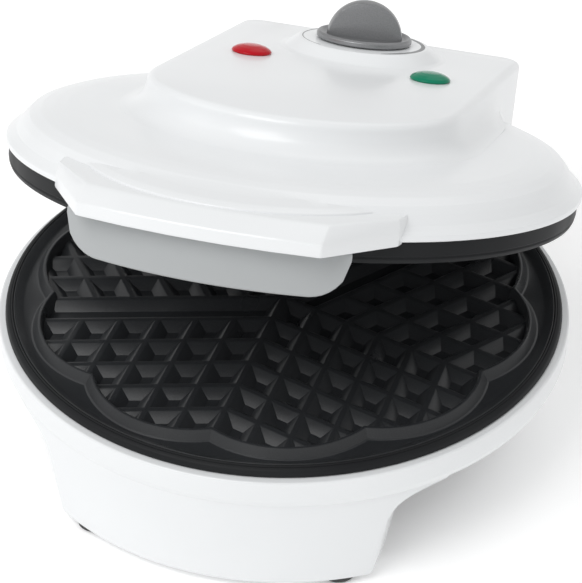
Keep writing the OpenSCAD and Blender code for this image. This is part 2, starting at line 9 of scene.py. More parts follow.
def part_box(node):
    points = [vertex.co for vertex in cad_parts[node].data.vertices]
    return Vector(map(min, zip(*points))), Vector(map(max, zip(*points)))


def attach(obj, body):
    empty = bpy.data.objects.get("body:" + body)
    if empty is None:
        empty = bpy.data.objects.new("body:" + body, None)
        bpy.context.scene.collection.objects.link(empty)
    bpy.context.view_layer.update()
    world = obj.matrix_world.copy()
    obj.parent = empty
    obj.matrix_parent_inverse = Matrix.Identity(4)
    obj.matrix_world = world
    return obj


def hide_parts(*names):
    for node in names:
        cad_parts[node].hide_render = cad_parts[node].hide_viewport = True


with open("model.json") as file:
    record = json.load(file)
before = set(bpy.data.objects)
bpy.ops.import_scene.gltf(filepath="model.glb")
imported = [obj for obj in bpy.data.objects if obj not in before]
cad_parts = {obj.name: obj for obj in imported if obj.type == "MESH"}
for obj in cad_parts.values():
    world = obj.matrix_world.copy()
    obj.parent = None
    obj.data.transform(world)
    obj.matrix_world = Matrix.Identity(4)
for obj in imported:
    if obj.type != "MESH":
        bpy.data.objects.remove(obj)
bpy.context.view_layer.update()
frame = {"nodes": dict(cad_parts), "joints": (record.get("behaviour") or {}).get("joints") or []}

# ---- Where the housings stand ----
# Shapes are drawn in millimetres about the mould's axis, with z = 0 where the two plates meet
# and the lid closed, and are then put in their place.

MM = 0.001
TURN_STEPS = 160
RIM_DROP = 1.5  # the lower rim ends this far under the parting plane
bezel_low, bezel_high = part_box("lower_bezel")
IN_BASE = Matrix.Translation((0, (bezel_low.y + bezel_high.y) / 2, bezel_high.z + RIM_DROP * MM))
hinge = next(Vector(j["pos_m"]) for j in frame["joints"] if j["name"] == "lid_hinge")
knob_axis = next(Vector(j["axis"]) for j in frame["joints"] if j["name"] == "knob_turn")
open_angle = math.atan2(knob_axis.y, knob_axis.z)
OPENED = (Matrix.Translation(hinge) @ Matrix.Rotation(-open_angle, 4, "X")
          @ Matrix.Translation(-hinge))
IN_LID = OPENED @ IN_BASE
KNOB_Y = 86
KNOB_TURN = math.radians(17)
LAMP_X, LAMP_Y = 34, 52
PIN_BORE_R = 2.56
IN_KNOB = IN_LID @ Matrix.Translation((0, KNOB_Y * MM, 0)) @ Matrix.Rotation(KNOB_TURN, 4, "Z")
HINGE_Y, HINGE_Z = 112.5, -7
MIRROR_Z = Matrix.Scale(-1, 4, (0, 0, 1))


# ---- Ways of working ----

def pick(piece):
    bpy.ops.object.select_all(action="DESELECT")
    piece.select_set(True)
    bpy.context.view_layer.objects.active = piece


def open_mesh(piece):
    pick(piece)
    bpy.ops.object.mode_set(mode="EDIT")


def close_mesh(inside=False):
    bpy.ops.mesh.select_all(action="SELECT")
    bpy.ops.mesh.remove_doubles(threshold=1e-6)
    bpy.ops.mesh.normals_make_consistent(inside=inside)
    bpy.ops.object.mode_set(mode="OBJECT")


def named(name):
    piece = bpy.context.object
    piece.name = piece.data.name = name
    return piece


def softened(corners, steps=5, closed=True):
    """The line through corners (x, y) or (x, y, radius), with an arc where there is a radius."""
    line = []
    for i, corner in enumerate(corners):
        here = Vector(corner[:2])
        radius = corner[2] if len(corner) > 2 else 0
        if not radius or (not closed and i in (0, len(corners) - 1)):
            line.append(here)
            continue
        back = (Vector(corners[i - 1][:2]) - here).normalized()
        ahead = (Vector(corners[(i + 1) % len(corners)][:2]) - here).normalized()
        half = math.acos(max(-1, min(1, back.dot(ahead)))) / 2
        reach = radius / math.tan(half)
        centre = here + (back + ahead).normalized() * radius / math.sin(half)
        start, end = here + back * reach - centre, here + ahead * reach - centre
        sweep = start.angle_signed(end)
        for k in range(steps + 1):
            turn = Matrix.Rotation(-sweep * k / steps, 2)
            line.append(centre + turn @ start)
    return line


def turned(name, outline, steps=TURN_STEPS, closed=False):
    """A piece turned about the upright axis from its outline of (radius, height) corners."""
    line = softened(outline, closed=closed)
    if closed:
        line.append(line[0])
    line = [Vector((p.x, 0, p.y)) * MM for p in line]
    bpy.ops.object.select_all(action="DESELECT")
    bpy.ops.mesh.primitive_plane_add(size=MM)
    piece = named(name)
    open_mesh(piece)
    bpy.ops.mesh.merge(type="CENTER")
    bpy.ops.transform.translate(value=line[0])
    for here, there in zip(line, line[1:]):
        bpy.ops.mesh.extrude_region_move(TRANSFORM_OT_translate={"value": there - here})
    bpy.ops.mesh.select_all(action="SELECT")
    bpy.ops.mesh.spin(steps=steps, angle=2 * math.pi, center=(0, 0, 0), axis=(0, 0, 1))
    close_mesh()
    return piece


def built_up(name, rings):
    """A closed block pulled up through rings of points, from the first to the last."""
    bpy.ops.object.select_all(action="DESELECT")
    bpy.ops.mesh.primitive_circle_add(vertices=len(rings[0]), radius=MM, fill_type="NGON")
    piece = named(name)
    open_mesh(piece)
    mesh = bmesh.from_edit_mesh(piece.data)
    corner = mesh.verts.layers.int.new("corner")
    for i, v in enumerate(mesh.verts):
        v[corner] = i
        v.co = Vector(rings[0][i]) * MM
    bmesh.update_edit_mesh(piece.data)
    for ring in rings[1:]:
        bpy.ops.mesh.extrude_region_move()
        mesh = bmesh.from_edit_mesh(piece.data)
        corner = mesh.verts.layers.int["corner"]
        for v in mesh.verts:
            if v.select:
                v.co = Vector(ring[v[corner]]) * MM
        bmesh.update_edit_mesh(piece.data)
    close_mesh()
    piece.data.attributes.remove(piece.data.attributes["corner"])
    return piece


def with_modifier(piece, kind, **settings):
    pick(piece)
    modifier = piece.modifiers.new(kind.lower(), kind)
    for key, value in settings.items():
        setattr(modifier, key, value)
    bpy.ops.object.modifier_apply(modifier=modifier.name)
    return piece


def joined_by(piece, operation, others):
    for other in others:
        with_modifier(piece, "BOOLEAN", operation=operation, solver="EXACT", object=other)
        bpy.data.objects.remove(other)
    return piece


def blended_into(piece, *others):
    return joined_by(piece, "UNION", others)


def cut_away(piece, *tools):
    return joined_by(piece, "DIFFERENCE", tools)


def kept_within(piece, tool):
    return joined_by(piece, "INTERSECT", [tool])


def rounded_edges(piece, width, angle=35, steps=3):
    return with_modifier(piece, "BEVEL", width=width * MM, segments=steps,
                         limit_method="ANGLE", angle_limit=math.radians(angle))


def copied(piece, name, place=None):
    twin = piece.copy()
    twin.data = piece.data.copy()
    twin.name = twin.data.name = name
    bpy.context.scene.collection.objects.link(twin)
    if place is not None:
        settled(twin, place)
    return twin


def settled(piece, place):
    """The piece in its place, with its object at the origin and its faces outwards."""
    pick(piece)
    piece.matrix_world = place
    bpy.ops.object.transform_apply(location=True, rotation=True, scale=True)
    if place.determinant() < 0:
        open_mesh(piece)
        close_mesh()
    return piece


def gathered(name, parts):
    bpy.ops.object.select_all(action="DESELECT")
    for part in parts:
        part.select_set(True)
    bpy.context.view_layer.objects.active = parts[0]
    bpy.ops.object.join()
    return named(name)


def fitted(piece, place, body, slot, finish, *nodes, smooth=32):
    settled(piece, place)
    bpy.ops.object.shade_smooth_by_angle(angle=math.radians(smooth))
    piece.data.materials.clear()
    piece.data.materials.append(finish)
    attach(piece, body)
    if nodes:
        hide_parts(*nodes)
    return piece


def round_bar(name, radius, start, end, steps=48):
    """A bore or pin from one point to another."""
    start, end = Vector(start) * MM, Vector(end) * MM
    run = end - start
    bpy.ops.object.select_all(action="DESELECT")
    bpy.ops.mesh.primitive_cylinder_add(vertices=steps, radius=radius * MM, depth=run.length,
                                        location=(start + end) / 2,
                                        rotation=run.to_track_quat("Z", "Y").to_euler())
    piece = named(name)
    bpy.ops.object.transform_apply(location=True, rotation=True, scale=True)
    return piece


# ---- Shared finishes ----

def new_group(name, inputs, outputs):
    group = bpy.data.node_groups.new(name, "ShaderNodeTree")
    for socket, kind, value in inputs:
        made = group.interface.new_socket(name=socket, in_out="INPUT", socket_type=kind)
        if value is not None:
            made.default_value = value
    for socket, kind in outputs:
        group.interface.new_socket(name=socket, in_out="OUTPUT", socket_type=kind)
    return group, group.nodes.new("NodeGroupInput"), group.nodes.new("NodeGroupOutput")


def noise(tree, vector, scale, detail=3, roughness=0.5):
    node = tree.nodes.new("ShaderNodeTexNoise")
    node.inputs["Detail"].default_value = detail
    node.inputs["Roughness"].default_value = roughness
    tree.links.new(vector, node.inputs["Vector"])
    if isinstance(scale, (int, float)):
        node.inputs["Scale"].default_value = scale
    else:
        tree.links.new(scale, node.inputs["Scale"])
    return node.outputs["Fac"]


def calculated(tree, operation, a, b):
    node = tree.nodes.new("ShaderNodeMath")
    node.operation = operation
    for socket, value in zip(node.inputs, (a, b)):
        if isinstance(value, (int, float)):
            socket.default_value = value
        else:
            tree.links.new(value, socket)
    return node.outputs[0]


def spread(tree, value, low, high, from_low=0.0, from_high=1.0):
    node = tree.nodes.new("ShaderNodeMapRange")
    node.inputs["From Min"].default_value = from_low
    node.inputs["From Max"].default_value = from_high
    for socket, bound in (("To Min", low), ("To Max", high)):
        if isinstance(bound, (int, float)):
            node.inputs[socket].default_value = bound
        else:
            tree.links.new(bound, node.inputs[socket])
    tree.links.new(value, node.inputs["Value"])
    return node.outputs["Result"]


def make_grain():
    """Fine grain of a moulded or coated surface: its height and where it is brighter."""
    group, given, out = new_group(
        "surface_grain",
        [("Position", "NodeSocketVector", None), ("Grains per metre", "NodeSocketFloat", 900.0),
         ("Unevenness", "NodeSocketFloat", 0.3)],
        [("Height", "NodeSocketFloat"), ("Fleck", "NodeSocketFloat")])
    fine = noise(group, given.outputs["Position"], given.outputs["Grains per metre"], 2)
    broad_scale = calculated(group, "MULTIPLY", given.outputs["Grains per metre"], 0.12)
    broad = noise(group, given.outputs["Position"], broad_scale, 2)
    uneven = calculated(group, "MULTIPLY", broad, given.outputs["Unevenness"])
    group.links.new(calculated(group, "ADD", fine, uneven), out.inputs["Height"])
    group.links.new(spread(group, fine, 0.0, 1.0, 0.35, 0.75), out.inputs["Fleck"])
    return group


def make_handling():
    """Faint smears and cloudiness left by use, as a roughness and a tint."""
    group, given, out = new_group(
        "handling",
        [("Position", "NodeSocketVector", None), ("Smooth", "NodeSocketFloat", 0.25),
         ("Dull", "NodeSocketFloat", 0.4), ("Light", "NodeSocketColor", (1, 1, 1, 1)),
         ("Shade", "NodeSocketColor", (0.9, 0.9, 0.9, 1))],
        [("Roughness", "NodeSocketFloat"), ("Colour", "NodeSocketColor")])
    cloud = noise(group, given.outputs["Position"], 22, 1, 0.4)
    smear = noise(group, given.outputs["Position"], 70, 1, 0.4)
    amount = calculated(group, "MULTIPLY", cloud, smear)
    node = spread(group, amount, given.outputs["Smooth"], given.outputs["Dull"], 0.12, 0.42)
    group.links.new(node, out.inputs["Roughness"])
    mix = group.nodes.new("ShaderNodeMix")
    mix.data_type = "RGBA"
    group.links.new(spread(group, cloud, 0.0, 1.0, 0.3, 0.7), mix.inputs["Factor"])
    group.links.new(given.outputs["Light"], mix.inputs["A"])
    group.links.new(given.outputs["Shade"], mix.inputs["B"])
    group.links.new(mix.outputs["Result"], out.inputs["Colour"])
    return group


GRAIN = make_grain()
HANDLING = make_handling()


def finish_of(name, light, shade, smooth, dull, grain, depth, uneven=0.3, metal=0.0, coat=0.0,
              coat_rough=0.1, ior=1.5, fleck=None, along=(1, 1, 1), glow=0.0, clear=0.0):
    """One finish: its two close tones, its gloss from smooth to dull, and its grain."""
    material = bpy.data.materials.new(name)
    material.use_nodes = True
    tree = material.node_tree
    shader = tree.nodes["Principled BSDF"]
    place = tree.nodes.new("ShaderNodeTexCoord").outputs["Object"]
    stretch = tree.nodes.new("ShaderNodeMapping")
    stretch.inputs["Scale"].default_value = along
    tree.links.new(place, stretch.inputs["Vector"])
    handling = tree.nodes.new("ShaderNodeGroup")
    handling.node_tree = HANDLING
    tree.links.new(place, handling.inputs["Position"])
    handling.inputs["Smooth"].default_value = smooth
    handling.inputs["Dull"].default_value = dull
    handling.inputs["Light"].default_value = (*light, 1)
    handling.inputs["Shade"].default_value = (*shade, 1)
    grains = tree.nodes.new("ShaderNodeGroup")
    grains.node_tree = GRAIN
    tree.links.new(stretch.outputs["Vector"], grains.inputs["Position"])
    grains.inputs["Grains per metre"].default_value = grain
    grains.inputs["Unevenness"].default_value = uneven
    colour = handling.outputs["Colour"]
    if fleck:
        mix = tree.nodes.new("ShaderNodeMix")
        mix.data_type = "RGBA"
        mix.inputs["B"].default_value = (*fleck, 1)
        tree.links.new(grains.outputs["Fleck"], mix.inputs["Factor"])
        tree.links.new(colour, mix.inputs["A"])
        colour = mix.outputs["Result"]
    tree.links.new(colour, shader.inputs["Base Color"])
    tree.links.new(handling.outputs["Roughness"], shader.inputs["Roughness"])
    bump = tree.nodes.new("ShaderNodeBump")
    bump.inputs["Strength"].default_value = 1.0
    bump.inputs["Distance"].default_value = depth * MM
    tree.links.new(grains.outputs["Height"], bump.inputs["Height"])
    tree.links.new(bump.outputs["Normal"], shader.inputs["Normal"])
    shader.inputs["Metallic"].default_value = metal
    shader.inputs["Coat Weight"].default_value = coat
    shader.inputs["Coat Roughness"].default_value = coat_rough
    shader.inputs["IOR"].default_value = ior
    shader.inputs["Transmission Weight"].default_value = clear
    if glow:
        tree.links.new(colour, shader.inputs["Emission Color"])
        shader.inputs["Emission Strength"].default_value = glow
    return material


def make_finishes():
    return {
        "housing_white": finish_of("housing_white", (0.815, 0.83, 0.84), (0.80, 0.815, 0.825),
                                   0.28, 0.30, 500, 0.0003, coat=0.15, coat_rough=0.1),
        # The guard's dark grey is painted shade: it stands for the shadow it lies in under the handle.
        "tongue_grey_white": finish_of("tongue_grey_white", (0.40, 0.415, 0.42), (0.39, 0.405, 0.41),
                                       0.30, 0.40, 900, 0.003, coat=0.1),
        "cover_grey": finish_of("cover_grey", (0.10, 0.10, 0.105), (0.085, 0.085, 0.09),
                                0.45, 0.6, 1500, 0.03),
        "bezel_black": finish_of("bezel_black", (0.012, 0.0125, 0.014), (0.017, 0.018, 0.019),
                                 0.42, 0.52, 2200, 0.006, ior=1.22),
        "nonstick_black": finish_of("nonstick_black", (0.016, 0.017, 0.019), (0.022, 0.024, 0.026),
                                    0.27, 0.40, 3000, 0.012, uneven=0.6, fleck=(0.032, 0.034, 0.037)),
        "screw_steel": finish_of("screw_steel", (0.62, 0.62, 0.61), (0.5, 0.5, 0.49),
                                 0.28, 0.42, 2500, 0.012, metal=1.0),
        "pin_steel": finish_of("pin_steel", (0.66, 0.66, 0.66), (0.56, 0.56, 0.56),
                               0.22, 0.36, 2600, 0.010, metal=1.0, along=(4, 1, 1)),
        "element_steel": finish_of("element_steel", (0.24, 0.22, 0.20), (0.16, 0.13, 0.12),
                                   0.38, 0.56, 1500, 0.02, metal=1.0),
        "reflector_sheet": finish_of("reflector_sheet", (0.70, 0.70, 0.69), (0.58, 0.58, 0.57),
                                     0.28, 0.45, 1200, 0.015, metal=1.0, along=(1, 6, 1)),
        "ceramic_ivory": finish_of("ceramic_ivory", (0.74, 0.70, 0.60), (0.66, 0.62, 0.52),
                                   0.5, 0.7, 1800, 0.03),
        "foot_rubber": finish_of("foot_rubber", (0.035, 0.035, 0.036), (0.05, 0.05, 0.05),
                                 0.6, 0.78, 1600, 0.04),
        # Both lenses carry a faint painted glow, as if lit from inside, though no lamp behind them is
        # lit.
        "lens_red": finish_of("lens_red", (0.50, 0.001, 0.010), (0.42, 0.001, 0.008),
                              0.08, 0.14, 600, 0.002, ior=1.33, glow=0.04),
        "lens_green": finish_of("lens_green", (0.001, 0.20, 0.11), (0.001, 0.17, 0.09),
                                0.08, 0.14, 600, 0.002, ior=1.33, glow=0.04),
        "lamp_glass": finish_of("lamp_glass", (0.9, 0.88, 0.85), (0.86, 0.84, 0.8),
                                0.05, 0.12, 500, 0.003, clear=0.8),
        "knob_silver": finish_of("knob_silver", (0.27, 0.275, 0.28), (0.25, 0.255, 0.26),
                                 0.36, 0.44, 3200, 0.008, metal=0.9, uneven=0.15,
                                 fleck=(0.33, 0.33, 0.34)),
        "dial_grey": finish_of("dial_grey", (0.26, 0.265, 0.27), (0.22, 0.225, 0.23),
                               0.4, 0.5, 1500, 0.01),
    }


FINISH = make_finishes()


# ---- Base ----

LEG_WALL_R = 87
DEEPEST_Y2 = 400  # keeps the leg's back clear of the axis


def leg_section(z, half, outer):
    """The leg's section at one height: part of a ring, as wide as half each way."""
    corner, back_corner, margin = 2.2, 0.8, 0.4

    def back_y(x):
        return -math.sqrt(max(LEG_WALL_R ** 2 - x ** 2, DEEPEST_Y2))

    arc = [math.asin((half - corner - margin) / outer) * (k / 16 - 1) for k in range(33)]
    front = [(outer * math.sin(a), -outer * math.cos(a)) for a in arc]
    edge_y = -math.sqrt(outer ** 2 - half ** 2)
    corners = front + [(half, edge_y, corner), (half, back_y(half), back_corner)]
    for k in range(9):
        x = (half - 3) * (1 - k / 4)
        corners.append((x, back_y(x)))
    corners += [(-half, back_y(half), back_corner), (-half, edge_y, corner)]
    return [(p.x, p.y, z) for p in softened(corners)]


def make_leg():
    """The front leg, which spreads into the bowl as it rises: (height, half width, radius)."""
    heights = [(-51.8, 55.2, 97.9), (-51.2, 55.8, 98.5), (-50.4, 56.2, 98.75), (-42, 57.9, 99.3),
               (-34, 59.3, 99.8), (-28, 60.5, 100.2), (-24.5, 61.8, 100.4), (-22, 63.4, 100.5),
               (-20, 65.6, 100.6), (-18.4, 68.4, 100.7), (-17.2, 72.2, 100.8), (-16.4, 77.0, 100.8),
               (-15.2, 78.0, 100.8)]
    return built_up("leg", [leg_section(z, half, outer) for z, half, outer in heights])


def tower_side(x, inset):
    """The side of the block that carries the hinge and the cord, at one x."""
    return [(x, p.x, p.y) for p in softened([
        (93 + inset, -36.5 + inset), (99 - inset * 0.4, -36.5 + inset), (119.5 - inset, -19, 6),
        (119.5 - inset, -inset, 6.6), (105.5 + inset, -inset, 6),
        (104.5 + inset, -7 - inset, 1), (93 + inset, -7 - inset)])]


def make_base():
    shell = turned("base_shell", [
        (97.4, -4.95), (101.96, -4.95, 0.9), (101.96, -13.2, 2.2), (100.9, -15.8, 1.2),
        (98.8, -16.7, 0.6),
        (91, -16.7, 3), (84.5, -22.7, 4), (78, -34.5, 1.0), (69, -34.5), (69, -32.1), (75.8, -32.1, 1),
        (82.4, -21.3, 3), (90.2, -14.3, 2), (97.4, -14.3)], closed=True)
    front_leg = make_leg()
    rear_leg = copied(front_leg, "rear_leg", Matrix.Scale(-1, 4, (0, 1, 0)))
    tower = built_up("tower", [tower_side(-33.5, 0.9), tower_side(-33.2, 0.3), tower_side(-32.6, 0),
                               tower_side(32.6, 0), tower_side(33.2, 0.3), tower_side(33.5, 0.9)])
    well = turned("well", [(0, -34), (97.4, -34), (97.4, 10), (0, 10)])
    cut_away(tower, well)
    blended_into(shell, front_leg, rear_leg, tower)
    cut_away(shell, round_bar("pin_bore", PIN_BORE_R, (-40, HINGE_Y, HINGE_Z), (40, HINGE_Y, HINGE_Z)),
             round_bar("gland_bore", 5.5, (0, 84, -37.5), (0, 106, -37.5)))
    fitted(shell, IN_BASE, "base", "housing_white", FINISH["housing_white"], "base_housing")


# The inner part of both rims, from under the plate to its edge.
RIM_SHELF = [(97.2, -8.85), (88, -8.85, 0.4), (88, -7.05), (96.5, -7.05)]


def make_bezels():
    lower = turned("lower_rim", [
        (96.5, -1.5), (96.95, -1.32, 0.2), (97.25, -1.9, 0.25), (97.6, -1.72, 0.3), (98.9, -2.4, 1.6),
        (99.6, -4.9, 0.8), (97.2, -4.9)] + RIM_SHELF, closed=True)
    fitted(lower, IN_BASE, "base", "bezel_black", FINISH["bezel_black"], "lower_bezel")
    upper = turned("upper_rim", [
        (96.5, -1.5), (97.0, -1.3, 0.2), (98.7, -1.6, 0.9), (99.4, -3.2, 0.7), (99.15, -3.5, 0.15),
        (99.15, -3.9, 0.15), (99.5, -4.1, 0.2), (99.6, -8.95), (97.2, -8.95)] + RIM_SHELF, closed=True)
    settled(upper, MIRROR_Z)
    fitted(upper, IN_LID, "lid", "bezel_black", FINISH["bezel_black"], "upper_bezel")


# ---- Mould plates ----

HEART = math.radians(72)
PITCH = 12.8
STEP = PITCH / math.sin(HEART)
LOBE_CENTRE, LOBE_R = 53.2, 34.8
LAST_RIDGE, GRID_REACH = 7, 98
RIDGE_TOP, GRID_BACK = -3.3, -6.85


def lobe_reach(angle, grow):
    """How far the ten lobes reach in one direction, from the mould's axis."""
    off = angle % (HEART / 2) - HEART / 4
    r = LOBE_R + grow
    return LOBE_CENTRE * math.cos(off) + math.sqrt(r * r - (LOBE_CENTRE * math.sin(off)) ** 2)


def plate_ring(z, grow=None, radius=None, count=480):
    """A ring of the plate: round, or lobed and grown outwards."""
    ring = []
    for k in range(count):
        a = 2 * math.pi * k / count
        reach = radius if radius is not None else lobe_reach(a, grow)
        ring.append((reach * math.sin(a), -reach * math.cos(a), z))
    return ring


def grid_cell(low, high, start, end):
    """One pocket of the waffle grid, between four ridges; low..high and start..end count ridges."""
    along = Vector((0, -1)), Vector((math.sin(HEART), -math.cos(HEART)))
    path = [(a, start) for a in range(low, high)] + [(high, b) for b in range(start, end)]
    path += [(a, end) for a in range(high, low, -1)] + [(low, b) for b in range(end, start, -1)]
    points = [(along[0] * a + along[1] * b) * STEP * MM for a, b in path]
    bpy.ops.object.select_all(action="DESELECT")
    bpy.ops.mesh.primitive_circle_add(vertices=len(points), radius=MM, fill_type="NGON")
    cell = named("pocket")
    open_mesh(cell)
    mesh = bmesh.from_edit_mesh(cell.data)
    for v, p in zip(mesh.verts, points):
        v.co = (p.x, p.y, RIDGE_TOP * MM)
    bmesh.update_edit_mesh(cell.data)
    for f in mesh.faces:
        f.normal_update()
        if f.normal.z < 0:
            f.normal_flip()
    bmesh.update_edit_mesh(cell.data)
    bpy.ops.mesh.inset(thickness=0.65 * MM, depth=0)
    bpy.ops.mesh.inset(thickness=0.5 * MM, depth=-0.22 * MM)
    bpy.ops.mesh.inset(thickness=3.3 * MM, depth=-2.78 * MM)
    bpy.ops.object.mode_set(mode="OBJECT")
    return cell


def make_grid():
    """The pockets of all five hearts, as one thick sheet under the mould's opening."""
    bands = [0, 1, 1, -1, -1]  # the side of each heart with one long pocket, if it has one
    along = Vector((0, -1)), Vector((math.sin(HEART), -math.cos(HEART)))
    cells = []
    for i, band in enumerate(bands):
        heart = []
        if band > 0:
            heart.append(grid_cell(0, 1, 0, LAST_RIDGE + 1))
        if band < 0:
            heart.append(grid_cell(0, LAST_RIDGE + 1, 0, 1))
        for a in range(1 if band > 0 else 0, LAST_RIDGE + 1):
            for b in range(1 if band < 0 else 0, LAST_RIDGE + 1):
                middle = along[0] * (a + 0.5) + along[1] * (b + 0.5)
                if middle.length * STEP < GRID_REACH:
                    heart.append(grid_cell(a, a + 1, b, b + 1))
        for cell in heart:
            settled(cell, Matrix.Rotation(i * HEART, 4, "Z"))
        cells += heart
    sheet = gathered("grid", cells)
    open_mesh(sheet)
    bpy.ops.mesh.select_all(action="SELECT")
    bpy.ops.mesh.remove_doubles(threshold=0.01 * MM)
    bpy.ops.mesh.extrude_region_move()
    bpy.ops.transform.resize(value=(1, 1, 0), center_override=(0, 0, GRID_BACK * MM))
    close_mesh()
    return sheet


def make_plates():
    plate = built_up("mould_plate", [
        plate_ring(-9.5, radius=85.6), plate_ring(-9.1, radius=86), plate_ring(-7, radius=86),
        plate_ring(-7, radius=96.3), plate_ring(-1.6, radius=96.3), plate_ring(-1.5, radius=96.1),
        plate_ring(-1.9, radius=95.2), plate_ring(-3.1, radius=93.4), plate_ring(-3.55, radius=92.4),
        plate_ring(-3.6, grow=3.9), plate_ring(-3.3, grow=3.3), plate_ring(-1.0, grow=1.75),
        plate_ring(-0.45, grow=1.4), plate_ring(-0.3, grow=1.0), plate_ring(-0.32, grow=0.55),
        plate_ring(-0.6, grow=0.2), plate_ring(-1.4, grow=0), plate_ring(-5.6, grow=-0.9),
        plate_ring(-6.1, grow=-1.5), plate_ring(-6.6, grow=-1.6)])
    grid = make_grid()
    kept_within(grid, built_up("mould_opening", [plate_ring(-6.75, grow=0.4), plate_ring(0, grow=0.4)]))
    blended_into(plate, grid)
    upper = copied(plate, "upper_mould", MIRROR_Z)
    plate.name = plate.data.name = "lower_mould"
    finish = FINISH["nonstick_black"]
    fitted(plate, IN_BASE, "base", "nonstick_black", finish, "lower_plate", smooth=24)
    fitted(upper, IN_LID, "lid", "nonstick_black", finish, "upper_plate", smooth=24)


# ---- Lid ----

def deck_line(inset=0.0, rear_cut=None):
    """The platform's outline, from the front crown round by the right."""
    half, front_y, front_r = 56.0, 12.0, 58.0
    right = [(front_r * math.sin(a), front_y - front_r * math.cos(a))
             for a in [math.radians(4 * k) for k in range(16)]]
    start, pull, end = Vector(right[-1]), Vector((half, -7.05)), Vector((half, 4.5))
    for k in range(1, 7):
        t = k / 6
        right.append(tuple(start * (1 - t) ** 2 + pull * 2 * t * (1 - t) + end * t * t))
    right += [(half, 4.5 + k * 107.0 / 18) for k in range(1, 19)]
    right += [(half - 8 + 8 * math.cos(a), 112 + 8 * math.sin(a))
              for a in [math.radians(15 * k) for k in range(1, 7)]]
    right += [(48 - 8 * k, 120.0) for k in range(1, 6)]
    line = right + [(0.0, 120.0)] + [(-x, y) for x, y in reversed(right[1:])]
    points = [Vector(p) for p in line]
    moved = []
    for i, p in enumerate(points):
        run = (points[(i + 1) % len(points)] - points[i - 1]).normalized()
        out = Vector((run.y, -run.x))
        share = inset(p) if callable(inset) else inset
        q = p - out * share
        if rear_cut is None or q.y < rear_cut:
            moved.append(q)
    return moved


def make_platform():
    foot, dome_z = 9.0, 22.4

    def flare(z):
        """How far the foot spreads at this height, fading out towards the rear."""
        t = min(1.0, max(0.0, (z - dome_z) / foot))
        wide = foot * (1 - math.sqrt(max(0.0, 1 - (1 - t) ** 2)))

        def out(p):
            share = min(1.0, max(0.0, (84 - p.y) / 44))
            return -wide * share * share * (3 - 2 * share)
        return out

    levels = [(5.0, 0.5), (5.5, 0.0), (17.5, 0.0), (20.5, flare(22.4)), (22.4, flare(22.4)),
              (22.55, flare(22.55)), (22.9, flare(22.9)), (23.5, flare(23.5)), (24.5, flare(24.5)),
              (26, flare(26)), (28, flare(28)), (31.4, 0.0), (32.2, 0.0), (33.1, 0.35), (33.8, 0.95),
              (34.3, 1.85), (34.5, 2.9)]
    block = built_up("platform", [[(p.x, p.y, z) for p in deck_line(inset)] for z, inset in levels])
    return cut_away(block, turned("rim_room", [(0, -5), (101.2, -5), (101.2, 9.2), (0, 9.2)]))


DOME = [(0, 9.0), (99.9, 9.0, 0.3), (100.8, 9.4, 0.5), (100.8, 11.2, 0.6), (99.4, 12.2, 0.8),
        (97.6, 13.7, 1.2), (95.4, 16.9, 3), (93.4, 19.0, 1.5), (89.3, 20.7, 6), (85.2, 21.5, 8),
        (81.1, 22.0, 10),
        (72.8, 22.35, 12), (60, 22.4), (0, 22.4)]


def handle_ring(z, inset, front):
    """The handle's outline at one height, drawn in by inset, with its nose at front."""
    corners = [(-40 + inset * 0.6, front + 4.0 + inset * 0.3, 1.6), (-24, front + 1.5),
               (-8, front + 0.2), (8, front + 0.2),
               (24, front + 1.5), (40 - inset * 0.6, front + 4.0 + inset * 0.3, 1.6),
               (57.6 - inset, -84.5 + inset * 0.6, 1.2), (58.4 - inset, -78, 1), (56, -50),
               (-56, -50), (-58.4 + inset, -78, 1), (-57.6 + inset, -84.5 + inset * 0.6, 1.2)]
    return [(p.x, p.y, z) for p in softened(corners)]


def make_handle():
    bar = built_up("handle", [
        handle_ring(8, 0.7, -116.1), handle_ring(8.3, 0.2, -116.6), handle_ring(8.9, 0, -116.88),
        handle_ring(12.2, 0, -116.97), handle_ring(12.7, 0.1, -116.68), handle_ring(16.4, 0.5, -110.2),
        handle_ring(16.9, 0.8, -109.1), handle_ring(17.0, 1.4, -108.1)])
    pad = turned("handle_pad", [(0, 12), (58.3, 12), (58.3, 17.55, 0.7), (55, 18.5, 4), (48, 19.3, 6),
                                (40, 20.6, 6), (28, 21.6, 6), (0, 21.9)])
    settled(pad, Matrix.Translation((0, -48.95 * MM, 0)))
    lip = turned("handle_room", [(0, 2), (99.4, 2), (99.4, 10.5), (0, 10.5)])
    return cut_away(bar, lip), pad


def ear_side(x, inset):
    """The side of a hinge ear: round below about the pin, square above."""
    arc = [math.radians(180 + 15 * k) for k in range(13)]
    side = [(HINGE_Y + (7.4 - inset) * math.cos(a), HINGE_Z + (7.4 - inset) * math.sin(a)) for a in arc]
    side += [(119.7 - inset, 7.0), (105 + inset, 7.0)]
    return [(x, y, z) for y, z in side]


